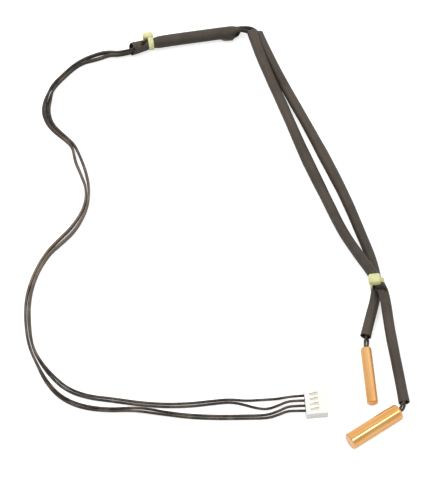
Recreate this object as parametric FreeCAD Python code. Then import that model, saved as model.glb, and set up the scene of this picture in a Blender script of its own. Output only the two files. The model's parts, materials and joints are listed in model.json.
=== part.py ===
import FreeCAD, Part
import math
import os

# Twin-probe sensor harness, lying on a flat surface. Millimetres, +Z up.
# Four leads run from a four-way plug into a trunk sleeve, then two by two through two branch
# sleeves to a thick and a thin copper capsule, each with a thermistor bead potted inside.
# Origin: on the surface, under the middle of the box of the sleeves, ties and capsules.

V = FreeCAD.Vector
UP = V(0, 0, 1)

# ---- driving dimensions: leads and sleeves ----
LEAD_DIAMETER = 1.2
LEAD_PITCH = 1.36            # between two leads that run side by side inside a sleeve
TRUNK_OUTER_DIAMETER = 6.1
TRUNK_WALL = 0.45
BRANCH_OUTER_DIAMETER = 4.9
BRANCH_WALL = 0.4
MOUTH_SETBACK = 1.0          # a sheathed lead stops this far inside its branch sleeve's end
LEAD_GAP = 0.06              # between two stretches of one lead
RUN_SHARE = 0.45             # share of the shorter run that a bend takes up

# ---- driving dimensions: capsules and what they hold ----
THICK_DIAMETER = 7.7
THIN_DIAMETER = 5.0
THICK_LENGTH = 27.0
THIN_LENGTH = 27.7
CAPSULE_WALL = 0.4
CAPSULE_END_ROUND = 0.5      # edge of the closed end
CAPSULE_SHOULDER = 1.0       # length of the rolled-in open end
THICK_MOUTH_DIAMETER = 5.3   # opening left by the rolled-in end
THIN_MOUTH_DIAMETER = 3.6
THICK_HEADING = -146.3       # degrees about +Z from +X, open end towards closed end
THIN_HEADING = -85.8
NECK_TO_PIVOT_THICK = 2.8    # branch sleeve's end to the point where the leads flex
NECK_TO_PIVOT_THIN = 1.7
PIVOT_TO_CAPSULE_THICK = 3.8
PIVOT_TO_CAPSULE_THIN = 4.5
PIVOT_GAP = 0.05             # between a neck lead's round end and the entry lead
LEAD_INTO_CAPSULE = 7.5
POTTING_RECESS = 0.5         # resin stops this far inside the open end
POTTING_GAP = 0.03           # between the resin and all that it holds
SPLICE_DIAMETER = 0.9
SPLICE_LENGTH = 3.0
SPLICE_SLEEVE_LENGTH = 6.0
SPLICE_SLEEVE_WALL = 0.16
SPLICE_SLEEVE_GAP = 0.03
BEAD_LEG_DIAMETER = 0.3
BEAD_LEG_PITCH = 0.7         # between the two legs where they enter the bead
BEAD_DIAMETER = 1.7
BEAD_LENGTH = 3.4
BEAD_TO_END = 1.4            # bead's tip to the inside of the closed end

# ---- driving dimensions: cable ties ----
STRAP_WIDTH = 2.6
STRAP_THICKNESS = 0.9
STRAP_GAP = 0.05             # between a strap and the sleeve that it squeezes
SQUEEZE_LENGTH = 2.9         # of a sleeve that a strap squeezes
TIE_HEAD_LENGTH = 5.6        # along the strap
TIE_HEAD_WIDTH = 5.2         # across the strap
TIE_HEAD_HEIGHT = 3.4
TIE_HEAD_ROUND = 0.6
TAIL_THICKNESS = 0.8
TAIL_STUB = 0.4              # cut tail that stands out of the head
SLOT_GAP = 0.15              # head's slot around the tail
HEAD_SINK = 0.15             # head's inner face below the top of the strap's opening
TRUNK_TIE_SETBACK = 10.2     # sleeve's mouth to the tie's middle
TRUNK_TIE_SKEW = -6.0        # degrees from square on the sleeve
TRUNK_TIE_HALF_WIDTH = 2.3
TRUNK_TIE_HEAD_ANGLE = 6.0   # above level
TRUNK_TIE_HEAD_SLIDE = 1.0   # towards the sleeve's end
CROSSING_TIE_SETBACK = 25.7  # thin branch sleeve's end to the tie's middle
CROSSING_TIE_SKEW = 10.7     # degrees from square on the thin branch sleeve
CROSSING_TIE_HALF_WIDTH = 2.25
CROSSING_TIE_OPENING_TOP = 10.5
CROSSING_TIE_HEAD_SHIFT = -1.7
CROSSING_TIE_HEAD_ANGLE = 93.0

# ---- driving dimensions: plug ----
CONTACTS = 4
CONTACT_PITCH = 2.5
HOUSING_END_WALL = 2.45      # outer contact's centre to the housing's side
HOUSING_LENGTH = 9.8
HOUSING_HEIGHT = 5.0
HOUSING_ROUND = 0.3
CAVITY_WIDTH = 1.9
CAVITY_HEIGHT = 2.4
CAVITY_FRONT_WALL = 0.9
PIN_OPENING = 1.1
WINDOW_SETBACK = 2.2         # rear face to the windows
WINDOW_LENGTH = 3.8
WINDOW_WIDTH = 1.5
WINDOW_NARROW_WIDTH = 1.0    # rear part of each window
WINDOW_STEP = 1.7            # length of the narrower part
RAIL_HEIGHT = 0.6            # guide rails under the mating end
RAIL_WIDTH = 1.2
RAIL_LENGTH = 6.0
PLUG_X, PLUG_Y = 18.1, -94.5 # middle of the housing's rear face
PLUG_HEADING = 5.0
CONTACT_HEIGHT = 3.4         # contacts' centre above the surface
LEAD_INTO_HOUSING = 1.4
TERMINAL_GAP = 0.06
TERMINAL_BOX_WIDTH = 1.7
TERMINAL_BOX_HEIGHT = 1.9
TERMINAL_BOX_LENGTH = 3.9
TERMINAL_SHEET = 0.25
INSULATION_CRIMP_DIAMETER = 1.6
INSULATION_CRIMP_LENGTH = 1.3
WIRE_CRIMP_DIAMETER = 1.1
WIRE_CRIMP_LENGTH = 1.7

# ---- centre lines, chosen by hand ----
# (x, y, z) of the corners of each sleeve's centre line.
TRUNK_ROUTE = [
    (-64.2, 100.2, 3.10), (-54.5, 103.7, 3.30), (-44.0, 105.9, 3.15), (-27.0, 108.8, 3.05),
    (-10.0, 112.4, 3.55),
]
THICK_BRANCH_ROUTE = [
    (-4.0, 109.2, 5.20), (-1.1, 98.6, 5.00), (3.8, 84.9, 3.90), (11.2, 65.8, 2.75),
    (20.5, 38.9, 2.45), (30.1, 14.8, 2.45), (37.6, -5.1, 3.40), (43.8, -18.0, 6.00),
    (48.4, -26.6, 7.80), (54.9, -38.0, 8.30), (56.3, -45.8, 7.00), (57.5, -56.4, 4.30),
    (59.2, -67.5, 2.60), (61.1, -81.0, 2.45), (62.7, -93.7, 2.45),
]
THIN_BRANCH_ROUTE = [
    (0.3, 110.2, 2.45), (3.4, 100.2, 2.45), (11.4, 80.0, 2.45), (21.4, 57.7, 2.45),
    (30.7, 36.3, 2.45), (39.9, 14.0, 2.45), (46.2, -5.1, 2.45), (50.8, -19.4, 2.75),
    (52.9, -31.5, 2.95), (52.1, -40.2, 2.90), (49.6, -48.9, 2.50), (46.6, -60.4, 2.45),
]
# Corners of each pair of leads between the trunk sleeve and its branch sleeve.
THICK_ELBOW = [(-5.1, 112.9, 4.6)]
THIN_ELBOW = [(-7.4, 113.8, 3.0), (0.0, 111.3, 2.5)]
# Corners of each lead's loose stretch, from the trunk sleeve's mouth to the housing.
LEAD_1_ROUTE = [
    (-64.0, 99.7, 3.63), (-69.4, 97.6, 3.42), (-75.3, 97.7, 2.42), (-80.5, 95.4, 1.97),
    (-89.9, 93.1, 1.97), (-98.6, 84.2, 1.97), (-102.4, 77.7, 1.97), (-103.4, 70.6, 1.50),
    (-104.0, 63.8, 1.50), (-101.7, 56.0, 1.85), (-94.5, 48.5, 1.97), (-90.4, 44.3, 1.97),
    (-87.2, 36.6, 1.97), (-84.4, 29.0, 1.97), (-82.5, 19.5, 1.97), (-83.1, 8.7, 1.97),
    (-88.0, -3.1, 1.97), (-94.4, -10.8, 1.97), (-100.5, -17.2, 1.97), (-105.5, -28.2, 1.97),
    (-108.5, -40.4, 1.97), (-108.2, -53.3, 1.97), (-105.8, -65.0, 1.97), (-101.5, -72.9, 1.98),
    (-95.9, -79.5, 1.54), (-88.7, -86.1, 1.31), (-79.3, -90.0, 1.68), (-68.1, -91.0, 1.09),
    (-56.4, -92.7, 0.62), (-44.7, -93.6, 0.62), (-33.1, -93.5, 1.20), (-22.8, -92.1, 0.98),
    (-15.4, -91.2, 0.62), (-8.3, -92.0, 0.62), (-1.1, -91.5, 0.62), (5.2, -91.1, 0.62),
    (9.7, -90.7, 1.60), (13.4, -90.9, 3.20),
]
LEAD_2_ROUTE = [
    (-64.0, 99.7, 2.27), (-69.4, 97.6, 2.06), (-75.3, 97.7, 1.05), (-80.5, 95.4, 0.62),
    (-89.9, 93.1, 0.62), (-98.6, 84.2, 0.62), (-102.4, 77.7, 0.62), (-104.5, 70.6, 0.62),
    (-105.2, 63.7, 0.62), (-102.2, 55.8, 0.62), (-94.5, 48.5, 0.62), (-90.4, 44.3, 0.62),
    (-87.2, 36.7, 0.62), (-84.6, 28.9, 0.62), (-82.6, 19.5, 0.62), (-83.1, 8.7, 0.62),
    (-87.9, -3.1, 0.62), (-94.4, -10.8, 0.62), (-100.2, -17.3, 0.62), (-105.0, -28.4, 0.62),
    (-108.3, -40.4, 0.62), (-107.7, -53.2, 0.62), (-105.8, -65.0, 0.62), (-101.7, -73.0, 0.62),
    (-96.7, -80.2, 0.62), (-89.4, -87.1, 0.62), (-79.5, -90.8, 0.62), (-68.2, -92.3, 0.62),
    (-56.5, -94.1, 0.62), (-44.7, -95.1, 0.62), (-33.0, -94.8, 0.62), (-22.6, -93.4, 0.62),
    (-15.2, -92.6, 0.62), (-9.4, -93.8, 0.62), (-4.1, -95.5, 0.62), (1.3, -96.2, 0.62),
    (6.1, -94.4, 0.90), (9.9, -93.1, 1.90), (13.6, -93.1, 3.20),
]
LEAD_3_ROUTE = [
    (-64.4, 100.9, 2.27), (-69.9, 98.9, 2.06), (-75.8, 99.5, 1.05), (-81.3, 98.5, 0.62),
    (-90.7, 94.3, 0.62), (-99.7, 85.1, 0.62), (-103.7, 78.3, 0.62), (-106.6, 71.0, 0.62),
    (-107.3, 63.4, 0.62), (-103.6, 54.7, 0.62), (-95.4, 47.5, 0.62), (-91.6, 43.6, 0.62),
    (-90.3, 35.6, 0.62), (-87.1, 27.9, 0.62), (-83.9, 19.3, 0.62), (-84.4, 9.0, 0.62),
    (-90.0, -1.9, 0.62), (-96.5, -9.0, 0.62), (-101.8, -16.2, 0.62), (-107.2, -27.6, 0.62),
    (-110.1, -40.2, 0.62), (-109.7, -53.5, 0.62), (-107.3, -65.3, 0.62), (-102.8, -74.5, 0.62),
    (-98.1, -82.5, 0.62), (-91.7, -89.7, 0.62), (-82.7, -94.1, 0.62), (-71.1, -96.0, 0.62),
    (-58.6, -95.9, 0.62), (-45.9, -97.3, 0.62), (-33.4, -99.0, 0.62), (-20.4, -99.5, 0.62),
    (-8.4, -99.3, 0.62), (1.0, -99.1, 0.62), (6.7, -96.9, 0.80), (10.2, -95.6, 2.00),
    (13.8, -95.7, 3.20),
]
LEAD_4_ROUTE = [
    (-64.4, 100.9, 3.63), (-69.9, 98.9, 3.42), (-75.8, 99.5, 2.42), (-81.3, 98.5, 1.97),
    (-90.7, 94.3, 1.97), (-99.7, 85.1, 1.97), (-103.7, 78.3, 1.97), (-105.5, 71.0, 1.50),
    (-106.2, 63.6, 1.50), (-103.3, 55.0, 1.85), (-95.4, 47.5, 1.97), (-91.6, 43.6, 1.97),
    (-90.1, 35.5, 1.97), (-87.0, 27.8, 1.97), (-83.9, 19.3, 1.97), (-84.4, 9.0, 1.97),
    (-90.0, -1.9, 1.97), (-96.5, -9.0, 1.97), (-101.8, -16.2, 1.97), (-107.2, -27.6, 1.97),
    (-110.1, -40.2, 1.97), (-109.6, -53.5, 1.97), (-107.3, -65.3, 1.97), (-103.0, -74.7, 1.97),
    (-99.0, -83.1, 1.51), (-92.5, -90.7, 0.86), (-83.1, -95.5, 0.62), (-71.2, -97.3, 0.98),
    (-58.6, -97.0, 1.41), (-46.1, -98.7, 0.86), (-33.5, -100.4, 0.62), (-20.5, -100.9, 0.62),
    (-8.3, -100.7, 0.62), (1.5, -100.6, 0.62), (6.7, -98.7, 0.80), (10.2, -97.7, 2.00),
    (14.0, -98.1, 3.20),
]

# ---- sizes that follow from the ones above ----
LEAD_RADIUS = LEAD_DIAMETER / 2
TRUNK_RADIUS = TRUNK_OUTER_DIAMETER / 2
BRANCH_RADIUS = BRANCH_OUTER_DIAMETER / 2
HOUSING_WIDTH = (CONTACTS - 1) * CONTACT_PITCH + 2 * HOUSING_END_WALL


def heading(degrees):
    """The level direction that stands so many degrees from +X."""
    return V(math.cos(math.radians(degrees)), math.sin(math.radians(degrees)), 0)


def side_of(direction):
    """The level direction to the left of another direction."""
    return UP.cross(V(direction.x, direction.y, 0)).normalize()


def bend(before, corner, after):
    """Start, middle and end of the arc that rounds a corner, and its radius."""
    back, on = before - corner, after - corner
    shorter = min(back.Length, on.Length)
    back.normalize()
    on.normalize()
    turn = math.pi - back.getAngle(on)
    reach = RUN_SHARE * shorter
    radius = reach / math.tan(turn / 2)
    inward = (back + on).normalize()
    middle = corner + inward * (radius / math.cos(turn / 2) - radius)
    return corner + back * reach, middle, corner + on * reach, radius


def path(route):
    """A wire of straight runs and tangent arcs through the route, with its smallest radius."""
    points = [V(*p) for p in route]
    edges, at, tightest = [], points[0], math.inf
    for before, corner, after in zip(points, points[1:], points[2:]):
        start, middle, end, radius = bend(before, corner, after)
        edges += [Part.LineSegment(at, start).toShape(), Part.Arc(start, middle, end).toShape()]
        at, tightest = end, min(tightest, radius)
    edges.append(Part.LineSegment(at, points[-1]).toShape())
    return Part.Wire(edges), tightest


def sweep(route, radius):
    """A round bar along a route."""
    wire, tightest = path(route)
    start = V(*route[0])
    ring = Part.Wire(Part.makeCircle(radius, start, V(*route[1]) - start))
    bar = wire.makePipeShell([ring], True, False)
    expected = math.pi * radius ** 2 * wire.Length
    return bar, wire.Length, tightest, bar.Volume / expected


def lead(name, route):
    """A lead's solid along a route, with its length and smallest radius printed."""
    bar, length, tightest, share = sweep(route, LEAD_RADIUS)
    print(f"{name}: length {length:.1f}, smallest radius {tightest:.1f}, volume ratio {share:.4f}")
    return bar


def sleeve(route, outer_radius, wall, tie):
    """A hollow sleeve along a route, squeezed by a tie."""
    outer = sweep(route, outer_radius)[0].cut(tie.squeezes(-STRAP_GAP))
    bore = sweep(route, outer_radius - wall)[0].cut(tie.squeezes(-STRAP_GAP - wall))
    return outer.cut(bore)


def beside(route, left, up):
    """A route that keeps so far to the left of another, and so far above it."""
    points, out = [V(*p) for p in route], []
    for i, point in enumerate(points):
        before, after = points[max(i - 1, 0)], points[min(i + 1, len(points) - 1)]
        moved = point + side_of(after - before) * left + UP * up
        out.append((moved.x, moved.y, moved.z))
    return out


def solid_of_revolution(profile, start, direction):
    """A profile of (along, radius) corners, closed on the axis, turned about it and placed."""
    corners = [V(a, r, 0) for a, r in profile]
    face = Part.Face(Part.makePolygon(corners + corners[:1]))
    body = face.revolve(V(0, 0, 0), V(1, 0, 0), 360)
    body.Placement = FreeCAD.Placement(start, FreeCAD.Rotation(V(1, 0, 0), direction))
    return body


def rod(start, end, radius):
    return Part.makeCylinder(radius, (end - start).Length, start, end - start)


def box_at(length, width, height, along, across, up):
    """A box from its middle, in a frame of its own."""
    return Part.makeBox(length, width, height, V(along - length / 2, across - width / 2, up - height / 2))


# ---- plug ----
def plug_frame(shape):
    shape.Placement = FreeCAD.Placement(V(PLUG_X, PLUG_Y, 0), FreeCAD.Rotation(UP, PLUG_HEADING))
    return shape


def contact_offsets():
    """Each contact's place across the housing, the first one on its left."""
    return [((CONTACTS - 1) / 2 - i) * CONTACT_PITCH for i in range(CONTACTS)]


def plug_point(along, across, up):
    forward = heading(PLUG_HEADING)
    point = V(PLUG_X, PLUG_Y, up) + forward * along + side_of(forward) * across
    return point.x, point.y, point.z


def connector_housing():
    body = Part.makeBox(HOUSING_LENGTH, HOUSING_WIDTH, HOUSING_HEIGHT, V(0, -HOUSING_WIDTH / 2, 0))
    body = body.makeFillet(HOUSING_ROUND, body.Edges)
    cavity_length = HOUSING_LENGTH - CAVITY_FRONT_WALL
    window_up = (HOUSING_HEIGHT + CONTACT_HEIGHT) / 2
    window_height = HOUSING_HEIGHT - CONTACT_HEIGHT + HOUSING_ROUND
    wide_length = WINDOW_LENGTH - WINDOW_STEP
    for across in contact_offsets():
        body = body.cut(box_at(cavity_length, CAVITY_WIDTH, CAVITY_HEIGHT,
                               cavity_length / 2, across, CONTACT_HEIGHT))
        body = body.cut(box_at(2 * CAVITY_FRONT_WALL, PIN_OPENING, PIN_OPENING,
                               HOUSING_LENGTH, across, CONTACT_HEIGHT))
        body = body.cut(box_at(WINDOW_STEP, WINDOW_NARROW_WIDTH, window_height,
                               WINDOW_SETBACK + WINDOW_STEP / 2,
                               across - (WINDOW_WIDTH - WINDOW_NARROW_WIDTH) / 2, window_up))
        body = body.cut(box_at(wide_length, WINDOW_WIDTH, window_height,
                               WINDOW_SETBACK + WINDOW_STEP + wide_length / 2, across, window_up))
    rail_across = HOUSING_WIDTH / 2 - RAIL_WIDTH
    for across in (-rail_across, rail_across):
        groove = box_at(RAIL_LENGTH, RAIL_WIDTH, 2 * RAIL_HEIGHT,
                        HOUSING_LENGTH - RAIL_LENGTH / 2, across, 0)
        body = body.cut(groove)
    return plug_frame(body)


def crimp_terminal(across):
    """A contact box with its two crimps, open at the front for the mating pin."""
    crimp_start = LEAD_INTO_HOUSING + TERMINAL_GAP
    wire_start = crimp_start + INSULATION_CRIMP_LENGTH
    box_start = wire_start + WIRE_CRIMP_LENGTH
    middle = V(0, across, CONTACT_HEIGHT)
    forward = V(1, 0, 0)
    insulation = Part.makeCylinder(INSULATION_CRIMP_DIAMETER / 2, INSULATION_CRIMP_LENGTH,
                                   middle + forward * crimp_start, forward)
    wire = Part.makeCylinder(WIRE_CRIMP_DIAMETER / 2, WIRE_CRIMP_LENGTH,
                             middle + forward * wire_start, forward)
    outer = box_at(TERMINAL_BOX_LENGTH, TERMINAL_BOX_WIDTH, TERMINAL_BOX_HEIGHT,
                   box_start + TERMINAL_BOX_LENGTH / 2, across, CONTACT_HEIGHT)
    inner = box_at(TERMINAL_BOX_LENGTH, TERMINAL_BOX_WIDTH - 2 * TERMINAL_SHEET,
                   TERMINAL_BOX_HEIGHT - 2 * TERMINAL_SHEET,
                   box_start + TERMINAL_SHEET + TERMINAL_BOX_LENGTH / 2, across, CONTACT_HEIGHT)
    body = outer.cut(inner).fuse([insulation, wire]).removeSplitter()
    return plug_frame(body)


# ---- cable ties ----
def heading_in_plane(degrees):
    """The direction so many degrees above level, in a tie's own frame."""
    return V(math.cos(math.radians(degrees)), 0, math.sin(math.radians(degrees)))


def loop_slab(half_width, low, high, width):
    """A slab with round ends, in the tie's own frame: X across, Y along the bundle, Z up."""
    right_bottom, right_top = V(half_width, 0, low + half_width), V(half_width, 0, high - half_width)
    left_bottom, left_top = V(-half_width, 0, low + half_width), V(-half_width, 0, high - half_width)
    edges = [Part.Arc(right_top, V(0, 0, high), left_top).toShape(),
             Part.Arc(left_bottom, V(0, 0, low), right_bottom).toShape()]
    if right_top.z - right_bottom.z > 1e-6:
        edges.insert(1, Part.LineSegment(left_top, left_bottom).toShape())
        edges.append(Part.LineSegment(right_bottom, right_top).toShape())
    slab = Part.Face(Part.Wire(edges)).extrude(V(0, width, 0))
    slab.translate(V(0, -width / 2, 0))
    return slab


class Tie:
    """One moulded tie: a strap looped round a bundle, and the head that its tail comes out of.

    The strap's opening is two half widths wide and reaches from low to high. The head's inner
    face has its middle at head_place, across and up, and the head stands out at head_angle
    from level. The bundle runs at the given degrees from +X.
    """

    def __init__(self, middle, degrees, half_width, low, high, head_place, head_angle, slide=0.0):
        self.placement = FreeCAD.Placement(middle, FreeCAD.Rotation(UP, degrees + 90))
        self.opening = (half_width, low, high)
        self.head_place, self.head_angle, self.slide = head_place, head_angle, slide

    def slab(self, grow, width):
        half_width, low, high = self.opening
        return loop_slab(half_width + grow, low - grow, high + grow, width)

    def head(self):
        head = box_at(TIE_HEAD_LENGTH, TIE_HEAD_WIDTH, TIE_HEAD_HEIGHT, 0, 0, TIE_HEAD_HEIGHT / 2)
        head = head.makeFillet(TIE_HEAD_ROUND, head.Edges)
        slot = box_at(TAIL_THICKNESS + 2 * SLOT_GAP, STRAP_WIDTH + 2 * SLOT_GAP, TIE_HEAD_HEIGHT,
                      0, 0, TIE_HEAD_HEIGHT / 2 + STRAP_THICKNESS)
        tail_height = TIE_HEAD_HEIGHT + TAIL_STUB
        tail = box_at(TAIL_THICKNESS, STRAP_WIDTH, tail_height, 0, 0, tail_height / 2)
        return self.to_head(head.cut(slot).fuse(tail))

    def to_head(self, shape):
        shape.rotate(V(0, 0, 0), V(0, 1, 0), 90 - self.head_angle)
        shape.translate(V(self.head_place[0], self.slide, self.head_place[1]))
        return shape

    def solid(self):
        body = self.slab(STRAP_THICKNESS, STRAP_WIDTH).fuse(self.head())
        body = body.cut(self.slab(0, 2 * TIE_HEAD_WIDTH)).removeSplitter()
        body.Placement = self.placement
        return body

    def squeezes(self, grow):
        """The room around the opening that a squeezed sleeve can't use."""
        ring = self.slab(4 * TRUNK_RADIUS, SQUEEZE_LENGTH).cut(self.slab(grow, SQUEEZE_LENGTH))
        over = TIE_HEAD_WIDTH + 2 * STRAP_GAP
        block = self.to_head(box_at(2 * TIE_HEAD_LENGTH, over, 2 * TIE_HEAD_HEIGHT,
                                    0, 0, TIE_HEAD_HEIGHT + grow))
        room = ring.fuse(block)
        room.Placement = self.placement
        return room


def place_on(route, distance):
    """The point so far along a sleeve's centre line, and the line's heading there in degrees."""
    for edge in path(route)[0].OrderedEdges:
        if distance <= edge.Length:
            at = edge.getParameterByLength(distance)
            along = edge.tangentAt(at)
            return edge.valueAt(at), math.degrees(math.atan2(along.y, along.x))
        distance -= edge.Length
    raise ValueError("the place is past the sleeve's end")


def trunk_tie():
    """Round the trunk sleeve, with its head lying on the far side."""
    half = TRUNK_TIE_HALF_WIDTH
    middle, degrees = place_on(TRUNK_ROUTE, TRUNK_TIE_SETBACK)
    out = heading_in_plane(TRUNK_TIE_HEAD_ANGLE) * half
    return Tie(middle, degrees + TRUNK_TIE_SKEW, half,
               -half, half, (out.x, out.z), TRUNK_TIE_HEAD_ANGLE, TRUNK_TIE_HEAD_SLIDE)


def crossing_tie():
    """Round both branch sleeves where one lies over the other, resting on the surface."""
    lower, back = place_on(THIN_BRANCH_ROUTE[::-1], CROSSING_TIE_SETBACK)
    upper = Part.Vertex(lower).distToShape(path(THICK_BRANCH_ROUTE)[0])[1][0][1]
    middle = (lower + upper) / 2
    middle.z = 0
    return Tie(middle, back + 180 + CROSSING_TIE_SKEW,
               CROSSING_TIE_HALF_WIDTH, STRAP_THICKNESS, CROSSING_TIE_OPENING_TOP,
               (CROSSING_TIE_HEAD_SHIFT, CROSSING_TIE_OPENING_TOP - HEAD_SINK),
               CROSSING_TIE_HEAD_ANGLE)


# ---- probes ----
class Probe:
    """Where one capsule and its leads lie, from its branch sleeve's end."""

    def __init__(self, name, branch_route, diameter, length, mouth_diameter, degrees,
                 to_pivot, to_capsule):
        last, end = V(*branch_route[-2]), V(*branch_route[-1])
        self.name = name
        self.sleeve_end = end
        self.out = V(end.x - last.x, end.y - last.y, 0).normalize()
        self.radius = diameter / 2
        self.length = length
        self.mouth_radius = mouth_diameter / 2
        self.direction = heading(degrees)
        self.lead_height = (end.z + self.radius) / 2
        level_end = V(end.x, end.y, self.lead_height)
        self.lead_start = level_end - self.out * MOUTH_SETBACK
        self.pivot = level_end + self.out * to_pivot
        self.open_end = self.pivot + self.direction * to_capsule
        self.open_end.z = self.radius

    def inside(self, along, up=0.0):
        """A point on or above the capsule's axis, so far from its open end."""
        return self.open_end + self.direction * along + UP * up


def capsule(probe):
    """A drawn tube, closed at one end and rolled in at the other."""
    r, n, t = probe.radius, probe.mouth_radius, CAPSULE_WALL
    length, nose, edge = probe.length, CAPSULE_SHOULDER, CAPSULE_END_ROUND
    inner = r - t
    half = math.sqrt(0.5)
    outline = [
        Part.LineSegment(V(length, 0, 0), V(length, r - edge, 0)),
        Part.Arc(V(length, r - edge, 0), V(length - edge * (1 - half), r - edge * (1 - half), 0),
                 V(length - edge, r, 0)),
        Part.LineSegment(V(length - edge, r, 0), V(nose, r, 0)),
        Part.Arc(V(nose, r, 0), V(nose * (1 - half), n + (r - n) * half, 0), V(0, n, 0)),
        Part.LineSegment(V(0, n, 0), V(t, n, 0)),
        Part.LineSegment(V(t, n, 0), V(nose, inner, 0)),
        Part.LineSegment(V(nose, inner, 0), V(length - t, inner, 0)),
        Part.LineSegment(V(length - t, inner, 0), V(length - t, 0, 0)),
        Part.LineSegment(V(length - t, 0, 0), V(length, 0, 0)),
    ]
    face = Part.Face(Part.Wire([piece.toShape() for piece in outline]))
    body = face.revolve(V(0, 0, 0), V(1, 0, 0), 360)
    body.Placement = FreeCAD.Placement(probe.open_end, FreeCAD.Rotation(V(1, 0, 0), probe.direction))
    return body


def probe_parts(probe, lead_numbers):
    """All that moves with a capsule, as (node name, solid)."""
    parts = []
    bead_tip = probe.length - CAPSULE_WALL - BEAD_TO_END
    bead_back = bead_tip - BEAD_LENGTH
    splice_end = LEAD_INTO_CAPSULE + SPLICE_LENGTH
    lead_rise = probe.lead_height - probe.radius
    held = []
    for place, (number, sign) in enumerate(zip(lead_numbers, (1, -1)), start=1):
        up = lead_rise + sign * LEAD_PITCH / 2
        start = probe.pivot + probe.direction * (LEAD_RADIUS + PIVOT_GAP) + UP * (sign * LEAD_PITCH / 2)
        end = probe.inside(LEAD_INTO_CAPSULE, up)
        parts.append((f"lead_{number}_entry", rod(start, end, LEAD_RADIUS)))
        held.append(rod(probe.inside(0, up), end, LEAD_RADIUS + POTTING_GAP))
        splice_tip = probe.inside(splice_end, up)
        parts.append((f"{probe.name}_splice_{place}", rod(end, splice_tip, SPLICE_DIAMETER / 2)))
        tube_end = probe.inside(LEAD_INTO_CAPSULE + SPLICE_SLEEVE_LENGTH, up)
        bore = SPLICE_DIAMETER / 2 + SPLICE_SLEEVE_GAP
        shell = bore + SPLICE_SLEEVE_WALL
        sleeve = rod(end, tube_end, shell).cut(rod(end, tube_end, bore))
        parts.append((f"{probe.name}_splice_sleeve_{place}", sleeve))
        held.append(rod(end, tube_end + probe.direction * POTTING_GAP, shell + POTTING_GAP))
        leg_knee = tube_end + probe.direction * BEAD_LEG_PITCH
        leg_end = probe.inside(bead_back - POTTING_GAP, sign * BEAD_LEG_PITCH / 2)
        into_bead = leg_end + (leg_end - leg_knee).normalize() * BEAD_LEG_PITCH
        leg = sweep([splice_tip, leg_knee, leg_end], BEAD_LEG_DIAMETER / 2)[0]
        parts.append((f"{probe.name}_bead_leg_{place}", leg))
        held.append(sweep([splice_tip, leg_knee, into_bead], BEAD_LEG_DIAMETER / 2 + POTTING_GAP)[0])
    parts.append((f"{probe.name}_bead", bead(probe, bead_back, 0)))
    held.append(bead(probe, bead_back, POTTING_GAP))
    fill_radius = probe.radius - CAPSULE_WALL - POTTING_GAP
    fill_start = POTTING_RECESS + CAPSULE_SHOULDER
    fill = rod(probe.inside(fill_start), probe.inside(probe.length - CAPSULE_WALL - POTTING_GAP),
               fill_radius)
    collar = rod(probe.inside(POTTING_RECESS), probe.inside(fill_start),
                 probe.mouth_radius - POTTING_GAP)
    potting = fill.fuse(collar).removeSplitter()
    for thing in held:
        potting = potting.cut(thing)
    parts.append((f"{probe.name}_potting", potting))
    parts.append((f"{probe.name}_capsule", capsule(probe)))
    return parts


def bead(probe, back, grow):
    """A glass bead: a short bar with round ends."""
    radius, length = BEAD_DIAMETER / 2 + grow, BEAD_LENGTH + 2 * grow
    bar = rod(probe.inside(back - grow), probe.inside(back - grow + length), radius)
    ends = [e for e in bar.Edges if e.Curve.TypeId == "Part::GeomCircle"]
    return bar.makeFillet(0.9 * radius, ends)


def neck_lead(probe, sign):
    """A lead from inside its sleeve's mouth to the pivot, where it ends round."""
    shift = UP * (sign * LEAD_PITCH / 2)
    start, end = probe.lead_start + probe.out * LEAD_GAP + shift, probe.pivot + shift
    return rod(start, end, LEAD_RADIUS).fuse(Part.makeSphere(LEAD_RADIUS, end)).removeSplitter()


def sheathed_route(free_route, elbow, branch_route, probe, left, sign):
    """A lead's way from the trunk's mouth through both sleeves to just inside the branch's end."""
    up = sign * LEAD_PITCH / 2
    trunk = beside(TRUNK_ROUTE, left, up)[1:-1]
    branch = beside(branch_route, 0, up)[1:-1]
    end = probe.lead_start + UP * up
    corners = [(x, y, z + up) for x, y, z in elbow]
    start, onward = V(*free_route[0]), V(*trunk[0])
    start += (onward - start).normalize() * LEAD_GAP
    return [tuple(start)] + trunk + corners + branch + [tuple(end)]


os.makedirs("parts", exist_ok=True)
thick = Probe("thick", THICK_BRANCH_ROUTE, THICK_DIAMETER, THICK_LENGTH, THICK_MOUTH_DIAMETER,
              THICK_HEADING, NECK_TO_PIVOT_THICK, PIVOT_TO_CAPSULE_THICK)
thin = Probe("thin", THIN_BRANCH_ROUTE, THIN_DIAMETER, THIN_LENGTH, THIN_MOUTH_DIAMETER,
             THIN_HEADING, NECK_TO_PIVOT_THIN, PIVOT_TO_CAPSULE_THIN)
for probe in (thick, thin):
    print(probe.name, "pivot", tuple(round(c, 3) for c in probe.pivot),
          "open end", tuple(round(c, 3) for c in probe.open_end))

nodes = {
    "trunk_sleeve": sleeve(TRUNK_ROUTE, TRUNK_RADIUS, TRUNK_WALL, trunk_tie()),
    "thick_branch_sleeve": sleeve(THICK_BRANCH_ROUTE, BRANCH_RADIUS, BRANCH_WALL, crossing_tie()),
    "thin_branch_sleeve": sleeve(THIN_BRANCH_ROUTE, BRANCH_RADIUS, BRANCH_WALL, crossing_tie()),
    "trunk_tie": trunk_tie().solid(),
    "crossing_tie": crossing_tie().solid(),
    "connector_housing": connector_housing(),
}

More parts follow.
